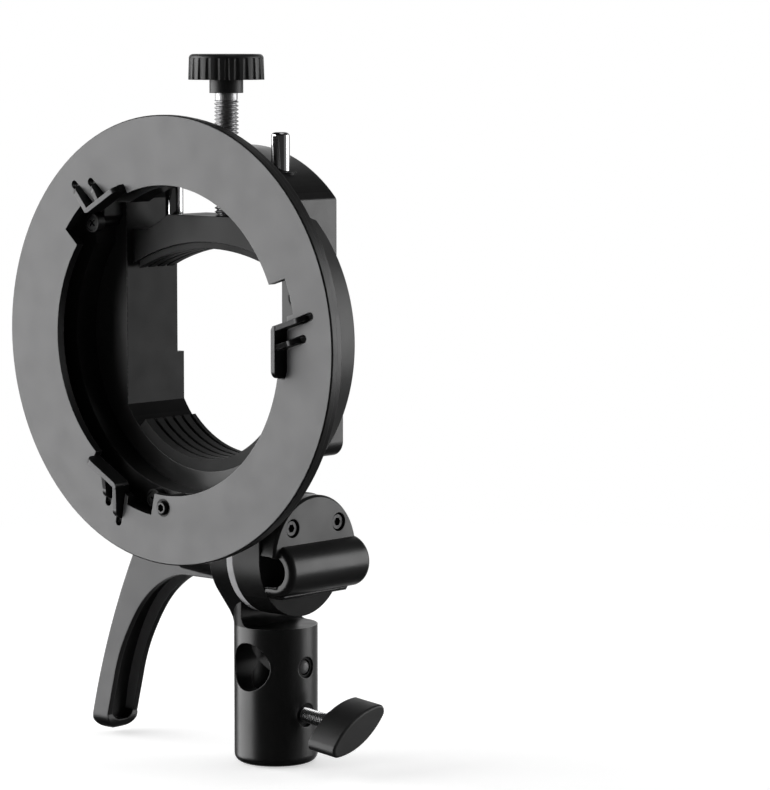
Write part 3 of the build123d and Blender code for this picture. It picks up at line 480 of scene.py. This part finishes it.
spring_wire = 0.55 * MM
spring_turns = 6
spring_low, spring_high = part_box("pin_spring")
spring_middle = (spring_low + spring_high) / 2
spring_front = Vector((spring_middle.x, spring_low.y, spring_middle.z))
spring_radius = 0.5 * (spring_high.x - spring_low.x - spring_wire)
spring = coil_spring("lock_pin_spring", spring_front, spring_high.y, spring_radius, spring_wire, spring_turns,
                     pin_steel)
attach(spring, "head")
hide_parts("pin_spring")
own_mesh(spring)


# ---------------------------------------------------------------- camera
view_azimuth = math.radians(41.421)      # from -Y towards +X
view_elevation = math.radians(5.743)
view_distance = 1.19595
aim = Vector((27.36, 24.14, 123.09)) * MM        # in the middle of the view


def direction_to(azimuth, elevation):
    """The unit vector to this azimuth (0 is -Y, a quarter turn is +X) and elevation, in radians."""
    level = math.cos(elevation)
    return Vector((math.sin(azimuth) * level, -math.cos(azimuth) * level, math.sin(elevation)))


def add_to_scene(name, data, location, away):
    """A camera or lamp at location, that looks back along away."""
    thing = bpy.data.objects.new(name, data)
    thing.location = location
    thing.rotation_euler = away.to_track_quat("Z", "Y").to_euler()
    bpy.context.scene.collection.objects.link(thing)
    return thing


lens = bpy.data.cameras.new("camera")
lens.lens = 164.05
lens.sensor_width = 36.0
toward = direction_to(view_azimuth, view_elevation)
bpy.context.scene.camera = add_to_scene("camera", lens, aim + toward * view_distance, toward)
bpy.context.scene.view_settings.view_transform = "Standard"


# ---------------------------------------------------------------- floor
floor_size = 40.0
floor_gap = 0.2 * MM          # below the part
floor_grey = 0.86
floor_lift = 0.5              # makes up the lit paper to white for the camera
shadow_from, shadow_to = 0.15, 0.6       # distances over which the shadow gives way to plain white


def floor_paper():
    """Pale paper. Close to the object the camera sees it lifted to white with the shadow kept, and further
    out as plain white."""
    paper, tree, shader = new_material("floor_paper")
    shader.inputs["Base Color"].default_value = (floor_grey, floor_grey, floor_grey, 1)
    shader.inputs["Roughness"].default_value = 0.9
    shader.inputs["Specular IOR Level"].default_value = 0.1
    camera_ray = add_node(tree, "ShaderNodeLightPath").outputs["Is Camera Ray"]
    lift = add_node(tree, "ShaderNodeEmission", inputs={"Color": (1, 1, 1, 1)})
    tree.links.new(math_node(tree, "MULTIPLY", camera_ray, floor_lift), lift.inputs["Strength"])
    near_paper = add_node(tree, "ShaderNodeAddShader")
    tree.links.new(shader.outputs["BSDF"], near_paper.inputs[0])
    tree.links.new(lift.outputs["Emission"], near_paper.inputs[1])
    distance = vector_node(tree, "LENGTH", place_on_part(tree)).outputs["Value"]
    far = remap(tree, distance, shadow_from, shadow_to, 0, 1)
    glow = add_node(tree, "ShaderNodeEmission", inputs={"Color": (1, 1, 1, 1), "Strength": 1.0})
    whole = add_node(tree, "ShaderNodeMixShader")
    tree.links.new(math_node(tree, "MULTIPLY", camera_ray, far), whole.inputs["Fac"])
    tree.links.new(near_paper.outputs["Shader"], whole.inputs[1])
    tree.links.new(glow.outputs["Emission"], whole.inputs[2])
    surface = next(n for n in tree.nodes if n.bl_idname == "ShaderNodeOutputMaterial").inputs["Surface"]
    tree.links.new(whole.outputs["Shader"], surface)
    return paper


bpy.ops.mesh.primitive_plane_add(size=floor_size, location=(0, 0, cad_low.z - floor_gap))
floor = bpy.context.object
floor.name = "floor"
floor.data.materials.append(floor_paper())
# metal and glass see the world through the floor
floor.visible_glossy = False
floor.visible_transmission = False


# ---------------------------------------------------------------- world
room_back = 0.7               # scattered light from the backdrop
room_dim = 0.08               # and from the camera's side of the room
steep_from, steep_to = 0.3, 0.6
steep_level = 0.15            # what is left of the mirrored room steeply up and down
behind, in_front = -0.6, 0.5             # share of a direction towards the camera
# how bright metal sees the room, by the turn in degrees from the camera's side
mirror_levels = [(-180, 1.0), (-166, 1.0), (-160, 0.1), (-120, 0.06), (-60, 0.03), (40, 0.03), (60, 0.2),
                 (120, 0.3), (156, 0.35), (162, 1.0), (180, 1.0)]


def mirrored_room(tree, heading):
    """What metal mirrors in this direction: the white backdrop behind, grey walls, a dark room in front."""
    flat = split(tree, heading)
    azimuth = math_node(tree, "ARCTAN2", flat["X"], math_node(tree, "MULTIPLY", flat["Y"], -1.0))
    turned = math_node(tree, "SUBTRACT", azimuth, view_azimuth)
    once_round = math_node(tree, "WRAP", turned, math.pi, -math.pi)
    ramp = add_node(tree, "ShaderNodeValToRGB")
    tree.links.new(remap(tree, once_round, -math.pi, math.pi, 0, 1), ramp.inputs["Fac"])
    stops = ramp.color_ramp.elements
    for turn, level in mirror_levels[1:-1]:
        stops.new(0.5 + turn / 360)
    for stop, (turn, level) in zip(stops, mirror_levels):
        stop.position = 0.5 + turn / 360
        stop.color = (level, level, level, 1)
    return ramp.outputs["Color"]


def studio_world():
    """White to the camera, the mirrored room to metal, and bright behind for scattered light."""
    world = bpy.data.worlds.new("studio")
    world.use_nodes = True
    tree = world.node_tree
    tree.nodes.clear()
    heading = add_node(tree, "ShaderNodeTexCoord").outputs["Generated"]
    steepness = math_node(tree, "ABSOLUTE", split(tree, heading)["Z"])
    level_part = remap(tree, steepness, steep_from, steep_to, 1.0, steep_level)
    path = add_node(tree, "ShaderNodeLightPath")
    sent_on = math_node(tree, "MAXIMUM", path.outputs["Is Glossy Ray"], path.outputs["Is Transmission Ray"])
    seen_by_metal = math_node(tree, "MULTIPLY", sent_on, level_part)
    mirrored = math_node(tree, "MULTIPLY", seen_by_metal, mirrored_room(tree, heading))
    ahead = vector_node(tree, "DOT_PRODUCT", heading, (toward.x, toward.y, 0)).outputs["Value"]
    room = remap(tree, ahead, behind, in_front, room_back, room_dim)
    scattered = math_node(tree, "MULTIPLY", math_node(tree, "SUBTRACT", 1.0, sent_on), room)
    indirect = math_node(tree, "ADD", mirrored, scattered)
    strength = math_node(tree, "MAXIMUM", path.outputs["Is Camera Ray"], indirect)
    studio = add_node(tree, "ShaderNodeBackground", inputs={"Color": (1, 1, 1, 1)})
    tree.links.new(strength, studio.inputs["Strength"])
    output = add_node(tree, "ShaderNodeOutputWorld")
    tree.links.new(studio.outputs["Background"], output.inputs["Surface"])
    return world


bpy.context.scene.world = studio_world()


# ---------------------------------------------------------------- light
lit_middle = Vector((0, -0.02, 0.12))


def soft_box(name, azimuth, elevation, distance, width, height, radiance):
    """A flat lamp at this azimuth and elevation from lit_middle, in degrees, that faces it."""
    lamp = bpy.data.lights.new(name, "AREA")
    lamp.shape = "RECTANGLE"
    lamp.size = width
    lamp.size_y = height
    lamp.energy = radiance * math.pi * width * height
    away = direction_to(math.radians(azimuth), math.radians(elevation))
    add_to_scene(name, lamp, lit_middle + away * distance, away)


soft_box("left_box", azimuth=-56, elevation=6, distance=1.5, width=1.9, height=1.9, radiance=3.6)
soft_box("rear_box", azimuth=141, elevation=6, distance=1.6, width=1.0, height=1.1, radiance=3.3)
soft_box("top_box", azimuth=100, elevation=78, distance=1.6, width=0.8, height=0.8, radiance=0.5)

bpy.context.view_layer.update()
